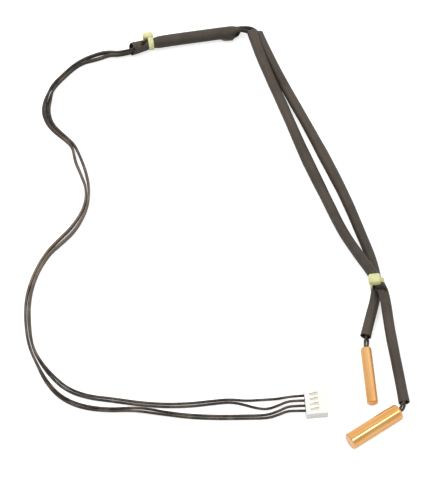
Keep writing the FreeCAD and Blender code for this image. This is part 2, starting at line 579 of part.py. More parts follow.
# Leads 1 and 2 go to the thick capsule, 3 and 4 to the thin one; the upper one of each is +1.
free_routes = (LEAD_1_ROUTE, LEAD_2_ROUTE, LEAD_3_ROUTE, LEAD_4_ROUTE)
half = LEAD_PITCH / 2
ways = (
    (THICK_ELBOW, THICK_BRANCH_ROUTE, thick, -half, 1),
    (THICK_ELBOW, THICK_BRANCH_ROUTE, thick, -half, -1),
    (THIN_ELBOW, THIN_BRANCH_ROUTE, thin, half, -1),
    (THIN_ELBOW, THIN_BRANCH_ROUTE, thin, half, 1),
)
for number, (route, across, way) in enumerate(zip(free_routes, contact_offsets(), ways), start=1):
    elbow, branch_route, probe, left, sign = way
    plugged = route + [plug_point(LEAD_INTO_HOUSING, across, CONTACT_HEIGHT)]
    nodes[f"lead_{number}_free"] = lead(f"lead_{number}_free", plugged)
    inner = sheathed_route(route, elbow, branch_route, probe, left, sign)
    nodes[f"lead_{number}_sheathed"] = lead(f"lead_{number}_sheathed", inner)
    nodes[f"lead_{number}_neck"] = neck_lead(probe, sign)
    nodes[f"crimp_terminal_{number}"] = crimp_terminal(across)
nodes.update(probe_parts(thick, (1, 2)))
nodes.update(probe_parts(thin, (4, 3)))

for name, shape in nodes.items():
    if not shape.isValid() or shape.Volume <= 0:
        raise ValueError(f"{name} is not a sound solid")
    shape.exportStep(f"parts/{name}.step")
print(len(nodes), "nodes")
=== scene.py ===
"""Twin-probe sensor harness, lying on a white surface.

Four leads run loose from a four-way plug into a trunk sleeve, then two by two through two
branch sleeves to a thick and a thin copper capsule. Metres, +Z up, in the frame of the model.
"""
import json
import math

import bpy
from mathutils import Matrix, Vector

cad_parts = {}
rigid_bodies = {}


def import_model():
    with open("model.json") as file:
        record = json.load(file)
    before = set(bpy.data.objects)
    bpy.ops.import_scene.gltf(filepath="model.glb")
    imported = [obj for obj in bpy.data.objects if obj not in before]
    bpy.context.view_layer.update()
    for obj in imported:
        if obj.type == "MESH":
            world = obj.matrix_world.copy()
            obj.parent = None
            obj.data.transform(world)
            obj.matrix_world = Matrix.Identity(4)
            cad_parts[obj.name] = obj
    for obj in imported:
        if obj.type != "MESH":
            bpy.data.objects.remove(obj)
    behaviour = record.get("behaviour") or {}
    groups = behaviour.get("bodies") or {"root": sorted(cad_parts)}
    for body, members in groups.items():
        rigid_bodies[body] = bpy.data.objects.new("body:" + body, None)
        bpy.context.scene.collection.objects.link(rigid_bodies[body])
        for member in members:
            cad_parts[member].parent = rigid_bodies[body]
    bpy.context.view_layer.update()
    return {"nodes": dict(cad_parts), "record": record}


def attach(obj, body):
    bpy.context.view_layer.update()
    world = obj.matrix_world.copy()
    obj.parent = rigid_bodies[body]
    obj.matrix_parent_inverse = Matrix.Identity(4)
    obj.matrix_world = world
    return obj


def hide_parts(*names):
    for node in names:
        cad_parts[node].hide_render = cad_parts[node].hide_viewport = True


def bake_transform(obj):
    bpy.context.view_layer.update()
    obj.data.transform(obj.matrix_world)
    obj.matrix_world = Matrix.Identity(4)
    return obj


bl_info = {
    "name": "Twin-probe sensor harness",
    "version": (1, 0, 0),
    "blender": (4, 2, 0),
    "location": "View3D > Sidebar > Sensor",
    "description": "Dresses the sensor harness: leads, sleeves, cable ties, plug and capsules",
    "category": "Object",
}

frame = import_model()
JOINTS = {joint["name"]: joint for joint in frame["record"]["behaviour"]["joints"]}


def metres(*points):
    """A line's points in metres, given in hundredths of a millimetre."""
    return [tuple(value / 100000 for value in point) for point in points]


# ---- centre lines, close to the model's ----
TRUNK_ROUTE = metres(
    (-6420, 10020, 310), (-5450, 10370, 330), (-4400, 10590, 315), (-2700, 10880, 305),
    (-1000, 11240, 355))
THICK_BRANCH_ROUTE = metres(
    (-400, 10920, 520), (-110, 9860, 500), (380, 8490, 390), (1120, 6580, 275), (2050, 3890, 245),
    (3010, 1480, 245), (3760, -510, 340), (4380, -1800, 600), (4840, -2660, 780),
    (5490, -3800, 830), (5630, -4580, 700), (5750, -5640, 430), (5920, -6750, 260),
    (6110, -8100, 245), (6270, -9370, 245))
THIN_BRANCH_ROUTE = metres(
    (-80, 11020, 245), (280, 10020, 245), (1110, 8000, 245), (2140, 5770, 245), (3070, 3630, 245),
    (3990, 1400, 245), (4620, -510, 245), (5080, -1940, 275), (5290, -3150, 295),
    (5210, -4020, 290), (4960, -4890, 250), (4660, -6040, 245))
THICK_ELBOW = metres(
    (-510, 11290, 460))
THIN_ELBOW = metres(
    (-740, 11440, 300), (-60, 11170, 250))
LEAD_1_ROUTE = metres(
    (-6400, 9880, 323), (-6940, 9700, 322), (-7530, 9770, 242), (-8050, 9540, 197),
    (-8990, 9280, 197), (-9820, 8340, 197), (-10240, 7770, 197), (-10340, 7060, 150),
    (-10400, 6380, 150), (-10170, 5600, 185), (-9450, 4850, 197), (-9040, 4430, 197),
    (-8720, 3660, 197), (-8440, 2900, 197), (-8250, 1950, 197), (-8310, 870, 197),
    (-8800, -310, 197), (-9460, -1070, 197), (-10080, -1670, 197), (-10600, -2800, 197),
    (-10850, -4040, 197), (-10820, -5330, 197), (-10580, -6500, 197), (-10150, -7290, 198),
    (-9590, -7950, 154), (-8870, -8610, 131), (-7930, -9000, 168), (-6810, -9100, 109),
    (-5640, -9270, 62), (-4470, -9360, 62), (-3310, -9350, 120), (-2280, -9210, 98),
    (-1540, -9120, 62), (-830, -9200, 62), (-110, -9150, 62), (520, -9110, 62), (970, -9070, 160),
    (1340, -9090, 320), (1917, -9064, 340))
LEAD_2_ROUTE = metres(
    (-6400, 9880, 187), (-6940, 9700, 186), (-7530, 9770, 105), (-8050, 9540, 62),
    (-8990, 9280, 62), (-9820, 8340, 62), (-10240, 7770, 62), (-10450, 7060, 62),
    (-10520, 6370, 62), (-10220, 5580, 62), (-9450, 4850, 62), (-9040, 4430, 62), (-8720, 3670, 62),
    (-8460, 2890, 62), (-8260, 1950, 62), (-8310, 870, 62), (-8790, -310, 62), (-9460, -1070, 62),
    (-10060, -1680, 62), (-10590, -2810, 62), (-10830, -4040, 62), (-10770, -5320, 62),
    (-10580, -6500, 62), (-10170, -7300, 62), (-9670, -8020, 62), (-8940, -8710, 62),
    (-7950, -9080, 62), (-6820, -9230, 62), (-5650, -9410, 62), (-4470, -9510, 62),
    (-3300, -9480, 62), (-2260, -9340, 62), (-1520, -9260, 62), (-940, -9380, 62),
    (-410, -9550, 62), (130, -9620, 62), (610, -9440, 90), (990, -9310, 190), (1360, -9310, 320),
    (1939, -9313, 340))
LEAD_3_ROUTE = metres(
    (-6440, 10000, 187), (-6990, 9830, 186), (-7580, 9950, 105), (-8130, 9850, 62),
    (-9070, 9390, 62), (-9930, 8430, 62), (-10370, 7830, 62), (-10660, 7100, 62),
    (-10730, 6340, 62), (-10360, 5470, 62), (-9540, 4750, 62), (-9160, 4360, 62), (-9030, 3560, 62),
    (-8710, 2790, 62), (-8390, 1930, 62), (-8440, 900, 62), (-9000, -190, 62), (-9640, -910, 62),
    (-10190, -1610, 62), (-10720, -2760, 62), (-11010, -4020, 62), (-10970, -5350, 62),
    (-10730, -6530, 62), (-10280, -7450, 62), (-9810, -8250, 62), (-9170, -8970, 62),
    (-8270, -9410, 62), (-7110, -9600, 62), (-5860, -9530, 62), (-5200, -9590, 62),
    (-4590, -9730, 62), (-3340, -9900, 62), (-2040, -9950, 62), (-840, -9930, 62), (100, -9910, 62),
    (670, -9690, 80), (1020, -9560, 200), (1380, -9570, 320), (1960, -9562, 340))
LEAD_4_ROUTE = metres(
    (-6440, 10000, 323), (-6990, 9830, 322), (-7580, 9950, 242), (-8130, 9850, 197),
    (-9070, 9390, 197), (-9930, 8430, 197), (-10370, 7830, 197), (-10550, 7100, 150),
    (-10620, 6360, 150), (-10330, 5500, 185), (-9540, 4750, 197), (-9160, 4360, 197),
    (-9010, 3550, 197), (-8700, 2780, 197), (-8390, 1930, 197), (-8440, 900, 197),
    (-9000, -190, 197), (-9640, -910, 197), (-10190, -1610, 197), (-10720, -2760, 197),
    (-11010, -4020, 197), (-10960, -5350, 197), (-10730, -6530, 197), (-10300, -7470, 197),
    (-9900, -8310, 151), (-9250, -9070, 86), (-8310, -9550, 62), (-7120, -9730, 98),
    (-5860, -9700, 141), (-4610, -9870, 86), (-3350, -10040, 62), (-2050, -10090, 62),
    (-830, -10070, 62), (150, -10060, 62), (670, -9870, 80), (1020, -9770, 200), (1400, -9810, 320),
    (1982, -9811, 340))
# Each loose lead's route and its real length.
FREE_LEADS = ((LEAD_1_ROUTE, 0.339), (LEAD_2_ROUTE, 0.3414),
              (LEAD_3_ROUTE, 0.3486), (LEAD_4_ROUTE, 0.3492))
NECK_REACH = {"thick": 0.0038, "thin": 0.0045}      # joint to the capsule's open end
NECK_CUT = {"thick": 0.0025, "thin": 0.0014}        # joint to where a bare pair starts to turn
NECK_ASIDE = {"thick": 0.0, "thin": 0.0006}         # how far to +X a bare pair lies of its joint
# The trunk sleeve's soft end, which hangs a little towards -Y.
TRUNK_END = metres((-1750, 11040, 310), (-1050, 11070, 320))
# Each tie's middle and the way that its bundle runs there, in degrees from +X.
TRUNK_TIE = ((-0.05456, 0.10351, 0.00326), 9.93)
CROSSING_TIE = ((0.05283, -0.03516, 0.0), -84.55)
# Each strap's opening: half its width, its bottom and its top.
TRUNK_OPENING, CROSSING_OPENING = (0.0023, -0.0023, 0.0023), (0.00225, 0.0009, 0.0105)
# Each head's place across and up, how far it points up from sideways in degrees, and its slide
# along the bundle. The trunk tie's head stands on its round strap.
TRUNK_HEAD_ANGLE, TRUNK_HEAD_SLIDE = 6.0, 0.001
CROSSING_HEAD, CROSSING_HEAD_ANGLE, CROSSING_HEAD_SLIDE = (-0.0017, 0.01035), 93.0, -0.0005
PLUG_PLACE = (0.0181, -0.0945, 0.0)                 # below the middle of the plug's rear face
CONTACT_BOX = (0.0021, 0.0086)                      # a contact's box, from the plug's rear face
# A contact's two crimps: their names, middles from the rear face, lengths and radii.
CRIMPS = (("jacket_crimp", 0.0018, 0.0008, 0.0008), ("wire_crimp", 0.0024, 0.0008, 0.00062))

# ---- other numbers that no setting holds ----
# Which leads share which branch, as (lead, side, level): how many half pitches a lead keeps to
# the left of the trunk's middle, and how many above it.
THICK_LEADS = (("lead_1", -1, 1), ("lead_2", -1, -1))
THIN_LEADS = (("lead_3", 1, -1), ("lead_4", 1, 1))
PINCH_LENGTH = 0.0026                               # half length of the waist that a tie makes
FINE_RINGS = 0.009                                  # rings stand closer this near to a tie
SLANTED_RINGS = 5                                   # rings that turn with a sleeve's slanting end
TRUNK_RING_STEP = 0.0007                            # between two rings of the trunk sleeve
CREASE_WIDTH, CREASE_DEPTH = 0.0018, 0.0022         # a crease in a soft sleeve beside its tie
BARE_RINGS, BARE_SIDES = 60, 20                     # rings and sides of a bare lead's mesh
CAPSULE_SIDES = 64                                  # sides of a capsule's mesh
COPPER_ROUGHNESS = {"thick": 0.08, "thin": 0.38}
# What the capsules hold, as colours.
GLASS, TINNED_WIRE = (0.05, 0.035, 0.03, 1.0), (0.75, 0.74, 0.72, 1.0)
SPLICE_METAL, INSULATION = (0.7, 0.62, 0.42, 1.0), (0.55, 0.5, 0.4, 1.0)
# The camera: its place, its tilt in degrees, and its lens and sensor in millimetres.
CAMERA_PLACE, CAMERA_TILT = (-0.020, -0.458, 0.77942), 30.0
CAMERA_LENS, CAMERA_SENSOR = 142.875, 36.0
FLOOR_SIZE = 6.0
# Each lamp's place, its turn about Z in degrees, and its size.
KEY_LAMP = (-0.45, 0.35, 0.95), 0.0, (0.9, 0.9)
STRIP_LAMP = (0.398, -0.183, 0.8), 33.7, (0.42, 0.13)
# Mirrored surroundings: the way in which they are brightest and how much they vary; the way of
# a darker patch, how nearly one must look that way for its edge and its middle, and its depth.
BRIGHT_SIDE, BRIGHT_RANGE = (0.55, 0.83, 0.0), 0.2
DARK_PATCH, PATCH_EDGE, PATCH_MIDDLE, PATCH_DEPTH = (0.685, -0.495, 0.534), 0.90, 0.98, 0.17


# ---- settings ----
def length(name, description, default):
    """A length that a user can change."""
    return bpy.props.FloatProperty(name=name, description=description, default=default,
                                   min=0.0, precision=5, unit="LENGTH")


def angle(name, description, degrees):
    """An angle that a user can change."""
    return bpy.props.FloatProperty(name=name, description=description,
                                   default=math.radians(degrees), subtype="ANGLE", unit="ROTATION")


def colour(name, description, red, green, blue):
    """A colour that a user can change, given as 0 to 255 on a screen."""
    def linear(value):
        value /= 255
        return value / 12.92 if value <= 0.04045 else ((value + 0.055) / 1.055) ** 2.4
    return bpy.props.FloatVectorProperty(
        name=name, description=description, size=4, subtype="COLOR", min=0.0, max=1.0,
        default=(linear(red), linear(green), linear(blue), 1.0))


def strength(name, description, default):
    """A plain number that a user can change."""
    return bpy.props.FloatProperty(name=name, description=description, default=default, min=0.0)


class LeadSettings(bpy.types.PropertyGroup):
    """The four thin leads."""
    diameter: length("Diameter", "Over the jacket of one lead", 0.0012)
    pitch: length("Pitch", "Between two leads that run side by side in a sleeve", 0.00136)
    mouth_setback: length("Mouth setback", "Leads start this far inside a branch sleeve", 0.001)
    into_capsule: length("Into capsule", "How far a lead reaches into its capsule", 0.0075)
    twist: angle("Twist", "Turn of each bare pair from its sleeve into its capsule", 300.0)
    jacket: colour("Jacket", "Soft black jacket", 46, 39, 33)
    # The paler jacket colour marks rubbed patches, and is also painted sheen where the loose leads
    # bow out.
    worn: colour("Rubbed and lit jacket", "Where the jacket is rubbed", 132, 118, 104)


class SleeveSettings(bpy.types.PropertyGroup):
    """The trunk sleeve and the two branch sleeves."""
    trunk_diameter: length("Trunk diameter", "Over the trunk sleeve", 0.0061)
    trunk_wall: length("Trunk wall", "Wall of the trunk sleeve", 0.00045)
    branch_diameter: length("Branch diameter", "Over a branch sleeve", 0.0049)
    branch_wall: length("Branch wall", "Wall of a branch sleeve", 0.0004)
    ring_step: length("Ring step", "Between two rings of a sleeve's mesh", 0.0013)
    tubing: colour("Tubing", "Dull grey-brown tubing", 76, 67, 58)
    shade: colour("Shade", "Darker patches on the tubing", 60, 52, 44)
    # The lip colour is painted light on the flared lip at the trunk sleeve's far end.
    lip: colour("Lip", "Worn brown lip of the trunk sleeve", 132, 108, 84)


class TieSettings(bpy.types.PropertyGroup):
    """The two cable ties."""
    strap_width: length("Strap width", "Width of the strap", 0.0026)
    strap_thickness: length("Strap thickness", "Thickness of the strap", 0.0009)
    strap_round: length("Strap round", "Round of the strap's edges", 0.00022)
    head_length: length("Head length", "Head along the strap", 0.0056)
    head_width: length("Head width", "Head across the strap", 0.0052)
    head_height: length("Head height", "How far the head stands out", 0.0034)
    head_round: length("Head round", "Round of the head's edges", 0.0012)
    nylon: colour("Nylon", "Pale yellow-green nylon", 226, 227, 172)
    shade: colour("Shade", "Thicker nylon", 208, 206, 150)


class PlugSettings(bpy.types.PropertyGroup):
    """The four-way plug."""
    pitch: length("Pitch", "Between two contacts", 0.0025)
    contact_width: length("Contact width", "Box of a contact across the plug", 0.0018)
    contact_height: length("Contact height", "Box of a contact, up and down", 0.0023)
    contact_level: length("Contact level", "Contacts' middle above the surface", 0.0034)
    heading: angle("Heading", "Way the plug points, from +X", 5.0)
    housing: colour("Housing", "Ivory nylon", 252, 251, 244)
    metal: colour("Contacts", "Tinned contact metal", 252, 245, 230)


class CapsuleSettings(bpy.types.PropertyGroup):
    """The two copper capsules."""
    thick_diameter: length("Thick diameter", "Over the thick capsule", 0.0077)
    thin_diameter: length("Thin diameter", "Over the thin capsule", 0.005)
    thick_length: length("Thick length", "From the open end to the closed end", 0.027)
    thin_length: length("Thin length", "From the open end to the closed end", 0.0277)
    wall: length("Wall", "Wall of a capsule", 0.0004)
    shoulder: length("Shoulder", "Length of the rolled-in open end", 0.001)
    thick_mouth: length("Thick mouth", "Opening of the thick capsule", 0.0053)
    thin_mouth: length("Thin mouth", "Opening of the thin capsule", 0.0036)
    edge_round: length("Edge round", "Round of the closed end's edge", 0.0007)
    thick_heading: angle("Thick heading", "Way the thick capsule points, from +X", -146.3)
    thin_heading: angle("Thin heading", "Way the thin capsule points, from +X", -85.8)
    copper: colour("Copper", "Bright drawn copper", 252, 203, 138)
    tarnish: colour("Tarnish", "Duller copper", 240, 167, 82)
    resin: colour("Resin", "Potting resin at the mouth", 38, 35, 33)


class StageSettings(bpy.types.PropertyGroup):
    """Floor, lamps and surroundings."""
    surroundings: strength("Surroundings", "White surroundings, as they light the part", 0.5)
    mirrored: strength("Mirrored surroundings", "White surroundings, as metal mirrors them", 0.84)
    floor_glow: strength("Floor glow", "Lift of the floor, as the camera sees it", 0.6)
    mirrored_floor: strength("Mirrored floor", "Lift of the floor, as metal mirrors it", 0.1)
    key_power: strength("Key power", "Watts of the broad lamp", 8.0)
    strip_power: strength("Strip power", "Watts of the narrow lamp", 1.35)


# ---- working by hand: selection and transforms ----
def deselect():
    """Leaves edit mode and deselects everything."""
    if bpy.context.object and bpy.context.object.mode != "OBJECT":
        bpy.ops.object.mode_set(mode="OBJECT")
    bpy.ops.object.select_all(action="DESELECT")


def choose(piece):
    """Makes one piece the only one selected."""
    deselect()
    piece.select_set(True)
    bpy.context.view_layer.objects.active = piece


def edit(piece, mode="VERT", test=None):
    """Enters edit mode with vertices chosen by their place, or faces by a test of the face."""
    choose(piece)
    mesh = piece.data
    for group in (mesh.vertices, mesh.edges, mesh.polygons):
        group.foreach_set("select", [False] * len(group))
    for item in mesh.vertices if mode == "VERT" else mesh.polygons:
        item.select = test is None or test(item.co if mode == "VERT" else item)
    bpy.ops.object.mode_set(mode="EDIT")
    bpy.ops.mesh.select_mode(type=mode)


def leave_edit():
    """Goes back to object mode, which keeps the edits."""
    bpy.ops.object.mode_set(mode="OBJECT")


def extrude(x, y, z):
    """Extrudes what is selected by so far along each axis."""
    bpy.ops.mesh.extrude_region_move(TRANSFORM_OT_translate={"value": (x, y, z)})


def fill(piece, test):
    """Closes a ring of vertices with a face."""
    edit(piece, "VERT", test)
    bpy.ops.mesh.edge_face_add()
    leave_edit()


def settle(piece):
    """Puts the piece's place, turn and scale into its mesh."""
    choose(piece)
    bpy.ops.object.transform_apply(location=True, rotation=True, scale=True)


def apply_all(piece):
    """Applies every modifier of a piece, in order."""
    choose(piece)
    for modifier in list(piece.modifiers):
        bpy.ops.object.modifier_apply(modifier=modifier.name)


def round_edges(piece, width, segments, degrees):
    """Rounds the edges that turn by more than so many degrees, and applies every modifier."""
    edges = piece.modifiers.new("Edges", "BEVEL")
    edges.width, edges.segments = width, segments
    edges.limit_method, edges.angle_limit = "ANGLE", math.radians(degrees)
    apply_all(piece)


def smooth(piece, degrees=35.0):
    """Shades a piece smooth, but for edges that turn by more than so many degrees."""
    choose(piece)
    bpy.ops.object.shade_smooth_by_angle(angle=math.radians(degrees))


def recalculate(piece):
    """Merges doubled vertices and turns all faces outwards."""
    edit(piece)
    bpy.ops.mesh.remove_doubles(threshold=1e-6)
    bpy.ops.mesh.normals_make_consistent(inside=False)
    leave_edit()


def join(name, pieces):
    """Joins pieces into one."""
    deselect()
    for piece in pieces:
        piece.select_set(True)
    bpy.context.view_layer.objects.active = pieces[0]
    bpy.ops.object.join()
    pieces[0].name = pieces[0].data.name = name
    return pieces[0]


def box(name, size, middle):
    """A block of the given size, its place in its mesh."""
    deselect()
    bpy.ops.mesh.primitive_cube_add(size=1.0, location=middle)
    block = bpy.context.object
    block.name = block.data.name = name
    block.scale = size
    settle(block)
    return block


def rings(name, first, steps, vertices=48):
    """A tube about +X, drawn out ring by ring.

    first is (along, radius). Each step is (along, across, up, drop), with the ring's half
    width, half height and how far its middle drops.
    """
    deselect()
    along, radius = first
    bpy.ops.mesh.primitive_circle_add(vertices=vertices, radius=radius, fill_type="NOTHING",
                                      location=(along, 0.0, 0.0), rotation=(0.0, math.pi / 2, 0.0))
    tube = bpy.context.object
    tube.name = tube.data.name = name
    settle(tube)
    edit(tube)
    wide, high, low = radius, radius, 0.0
    for on, across, up, drop in steps:
        extrude(on - along, 0.0, low - drop)
        bpy.ops.transform.resize(value=(1.0, across / wide, up / high),
                                 center_override=(on, 0.0, -drop))
        along, wide, high, low = on, across, up, drop
    leave_edit()
    return tube


# ---- curves ----
def guide(name, points, bevel=0.0):
    """A smooth open curve with the given control points, round if it has a bevel."""
    line = bpy.data.curves.new(name, "CURVE")
    line.dimensions = "3D"
    line.twist_mode = "Z_UP"
    line.resolution_u = 10
    spline = line.splines.new("NURBS")
    spline.points.add(len(points) - 1)
    for point, place in zip(spline.points, points):
        point.co = (*place, 1.0)
    spline.order_u = 3
    spline.use_endpoint_u = True
    line.bevel_depth = bevel
    line.bevel_resolution = 4
    line.use_fill_caps = bevel > 0.0
    thing = bpy.data.objects.new(name, line)
    bpy.context.scene.collection.objects.link(thing)
    return thing


def places_on(thing):
    """Points along a curve that has no bevel, each with its distance from the start."""
    line = bpy.data.meshes.new_from_object(thing)
    places, far = [(vertex.co.copy(), 0.0) for vertex in line.vertices], 0.0
    bpy.data.meshes.remove(line)
    for i in range(1, len(places)):
        far += (places[i][0] - places[i - 1][0]).length
        places[i] = (places[i][0], far)
    return places


def run_length(thing):
    """Length of a curve that has no bevel."""
    return places_on(thing)[-1][1]


def nearest(thing, place):
    """Distance along a curve to its point nearest to a place, seen from above."""
    return min(((Vector(place).xy - at.xy).length, far) for at, far in places_on(thing))[1]


def follow(piece, line):
    """Bends a piece that lies along +X to follow a curve, and removes the curve."""
    bend = piece.modifiers.new("Follow", "CURVE")
    bend.object = line
    bend.deform_axis = "POS_X"
    apply_all(piece)
    bpy.data.objects.remove(line)


def beside(route, left, up):
    """A route that keeps so far to the left of another, and so far above it."""
    points, out = [Vector(p) for p in route], []
    for i, point in enumerate(points):
        along = points[min(i + 1, len(points) - 1)] - points[max(i - 1, 0)]
        side = Vector((-along.y, along.x, 0.0)).normalized()
        out.append(tuple(point + side * left + Vector((0.0, 0.0, up))))
    return out


# ---- finishes ----
def new_finish(name):
    """A new material, its nodes and its main shader."""
    finish = bpy.data.materials.new(name)
    finish.use_nodes = True
    return finish, finish.node_tree.nodes, finish.node_tree.nodes["Principled BSDF"]


def feed(node, socket, value):
    """Gives a node's socket a value, or links it to another node's."""
    if isinstance(value, bpy.types.NodeSocket):
        node.id_data.links.new(value, node.inputs[socket])
    else:
        node.inputs[socket].default_value = value


def feed_all(node, **values):
    """Feeds a node's sockets, with spaces in their names written as underscores."""
    for name, value in values.items():
        feed(node, name.replace("_", " "), value)


def toned(base, share):
    """A colour made darker or lighter by a share."""
    return tuple(min(1.0, part * share) for part in base[:3]) + (1.0,)


def pattern(nodes, kind, size, middle=(0.0, 0.0, 0.0), turn=0.0):
    """A texture node whose unit has the given size along, across and up, turned about Z."""
    place, mapping = nodes.new("ShaderNodeTexCoord"), nodes.new("ShaderNodeMapping")
    mapping.vector_type = "TEXTURE"
    feed_all(mapping, Vector=place.outputs["Object"], Location=middle,
             Rotation=(0.0, 0.0, turn), Scale=size)
    texture = nodes.new(kind)
    feed_all(texture, Vector=mapping.outputs["Vector"])
    return texture


def grain(nodes, size, detail=3.0, turn=0.0, rough=0.55):
    """Noise with patches of one size, or of a size along, across and up, turned about Z."""
    size = size if isinstance(size, tuple) else (size, size, size)
    noise = pattern(nodes, "ShaderNodeTexNoise", size, turn=turn)
    feed_all(noise, Scale=1.0, Detail=detail, Roughness=rough)
    return noise.outputs["Fac"]


def around(nodes, middle, reach):
    """1 at the middle, falling evenly to 0 at the reach."""
    ball = pattern(nodes, "ShaderNodeTexGradient", (reach, reach, reach), middle)
    ball.gradient_type = "SPHERICAL"
    return ball.outputs["Fac"]


def spread(nodes, value, low, high, least, most):
    """Stretches the range low to high of a value to least to most."""
    ranged = nodes.new("ShaderNodeMapRange")
    feed_all(ranged, Value=value, From_Min=low, From_Max=high, To_Min=least, To_Max=most)
    return ranged.outputs["Result"]


def mixed(nodes, share, first, second):
    """Two colours mixed by a share from 0 to 1."""
    mix = nodes.new("ShaderNodeMix")
    mix.data_type = "RGBA"
    for socket, value in ((0, share), (6, first), (7, second)):
        feed(mix, socket, value)
    return mix.outputs[2]


def added(nodes, first, second, clamp):
    """The sum of two values, kept from 0 to 1 if it is clamped."""
    total = nodes.new("ShaderNodeMath")
    total.operation, total.use_clamp = "ADD", clamp
    feed(total, 0, first)
    feed(total, 1, second)
    return total.outputs[0]


def relief(nodes, heights, distance):
    """Bump of so many metres from a height that runs from 0 to 1."""
    bump = nodes.new("ShaderNodeBump")
    feed_all(bump, Height=heights, Distance=distance, Strength=1.0)
    return bump.outputs["Normal"]


def known(name, make, *values):
    """The material of that name, made the first time that it is asked for."""
    return bpy.data.materials.get(name) or make(name, *values)


def jacket_finish(name):
    """Soft black jacket with a fine skin, rubbed in random patches, with painted sheen where the
    loose leads bow out.
    """
    leads = bpy.context.scene.sensor_leads
    finish, nodes, shader = new_finish(name)
    patches = grain(nodes, 0.006, 4.0)
    # Painted sheen: the paler jacket colour is laid on where the loose leads bow out, standing in
    # for light on them.
    painted_sheen = spread(nodes, around(nodes, (-0.106, -0.006, 0.0), 0.09), 0.2, 1.0, 0.0, 0.8)
    wear_and_sheen = added(nodes, spread(nodes, patches, 0.43, 0.9, 0.0, 0.9), painted_sheen, True)
    feed_all(shader, Base_Color=mixed(nodes, wear_and_sheen, leads.jacket, leads.worn),
             Roughness=spread(nodes, patches, 0.3, 0.7, 0.40, 0.55),
             Normal=relief(nodes, grain(nodes, 0.0003), 0.00002), Specular_IOR_Level=0.4)
    return finish


def tubing_finish(name, base, shade, painted_bottom_shade, top):
    """Dull soft tubing: broad patches, rubbed streaks and a fine skin, with painted shade that
    darkens it below its top.
    """
    finish, nodes, shader = new_finish(name)
    patches = spread(nodes, grain(nodes, (0.03, 0.03, 0.02), 2.0), 0.42, 0.62, 0.0, 1.0)
    rubbed = spread(nodes, grain(nodes, (0.004, 0.004, 0.003), 5.0, 0.0, 0.7), 0.45, 0.75, 0.0, 0.5)
    place, parts = nodes.new("ShaderNodeTexCoord"), nodes.new("ShaderNodeSeparateXYZ")
    feed_all(parts, Vector=place.outputs["Object"])
    # Painted shade: the colour darkens from 60% of the tube's height down to its bottom.
    painted_shade_share = spread(nodes, parts.outputs["Z"], top * 0.6, top, painted_bottom_shade, 0.0)
    shown = mixed(nodes, painted_shade_share, mixed(nodes, patches, base, shade), toned(shade, 0.5))
    feed_all(shader, Base_Color=mixed(nodes, rubbed, shown, toned(base, 1.35)),
             Roughness=spread(nodes, rubbed, 0.0, 0.5, 0.50, 0.66),
             Normal=relief(nodes, grain(nodes, 0.0006, 4.0), 0.00006), Specular_IOR_Level=0.45)
    return finish


def nylon_finish(name, base, shade, scatter):
    """Moulded nylon: slightly see-through, with uneven colour and a faint flow pattern."""
    finish, nodes, shader = new_finish(name)
    patches = spread(nodes, grain(nodes, 0.004, 2.0), 0.4, 0.65, 0.0, 1.0)
    feed_all(shader, Base_Color=mixed(nodes, patches, base, shade),
             Roughness=spread(nodes, patches, 0.0, 1.0, 0.34, 0.46),
             Normal=relief(nodes, grain(nodes, 0.0009), 0.00002),
             Subsurface_Weight=scatter, Subsurface_Scale=0.0008)
    return finish


def copper_finish(name, turn, rough):
    """Drawn copper under a clear coat: lines along the capsule and soft stains."""
    capsules = bpy.context.scene.sensor_capsules
    finish, nodes, shader = new_finish(name)
    stains = grain(nodes, (0.012, 0.003, 0.003), 3.0, turn, 0.6)
    stained = spread(nodes, stains, 0.42, 0.72, 0.0, 0.6)
    lines = spread(nodes, grain(nodes, (0.05, 0.0006, 0.0006), 1.0, turn), 0.35, 0.65, 0.0, 1.0)
    drawn = mixed(nodes, lines, capsules.copper, capsules.tarnish)
    feed_all(shader, Base_Color=mixed(nodes, stained, drawn, capsules.tarnish),
             Roughness=spread(nodes, lines, 0.0, 1.0, rough, rough * 1.4),
             Normal=relief(nodes, grain(nodes, (0.03, 0.003, 0.003), 1.0, turn), 0.000002),
             Metallic=1.0, Coat_Weight=0.7, Coat_Roughness=rough)
    return finish


def metal_finish(name, base, rough):
    """Small bright metal parts with fine tool marks."""
    finish, nodes, shader = new_finish(name)
    marks = grain(nodes, 0.0004)
    darker = spread(nodes, marks, 0.45, 0.7, 0.0, 1.0)
    feed_all(shader, Base_Color=mixed(nodes, darker, base, toned(base, 0.75)),
             Roughness=spread(nodes, marks, 0.3, 0.7, rough, rough + 0.15),
             Normal=relief(nodes, marks, 0.00001), Metallic=1.0)
    return finish


def resin_finish(name, base, rough):
    """Cast or fired material with a slightly uneven gloss."""
    finish, nodes, shader = new_finish(name)
    swirl = grain(nodes, 0.0012)
    paler = spread(nodes, swirl, 0.5, 0.75, 0.0, 1.0)
    feed_all(shader, Base_Color=mixed(nodes, paler, base, toned(base, 1.5)),
             Roughness=spread(nodes, swirl, 0.3, 0.7, rough, rough + 0.12),
             Normal=relief(nodes, swirl, 0.00004))
    return finish


def paint(piece, finish):
    """Gives a piece one material on all of its faces."""
    data = piece.data
    data.materials.clear()
    data.materials.append(finish)


def dress(piece, body, material_slot, finish, *replaced):
    """Gives a new piece its material, its body if it has just one, and what it replaces."""
    paint(piece, finish)
    if body:
        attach(piece, body)
    if replaced:
        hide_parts(*replaced)
    return piece


def repaint(nodes, finish):
    """Gives the model's own solids a material."""
    for name in nodes:
        solid = frame["nodes"][name]
        if not solid.material_slots:
            solid.data.materials.append(finish)
        for place in solid.material_slots:
            place.material = finish


# ---- camera ----
class SENSOR_OT_camera(bpy.types.Operator):
    """Looks down at the harness from the front, well above it"""
    bl_idname = "sensor.camera"
    bl_label = "Camera"

    def execute(self, context):
        deselect()
        bpy.ops.object.camera_add(location=CAMERA_PLACE,
                                  rotation=(math.radians(CAMERA_TILT), 0.0, 0.0))
        camera = context.object
        camera.data.lens = CAMERA_LENS
        camera.data.sensor_width = CAMERA_SENSOR
        context.scene.camera = camera
        return {"FINISHED"}


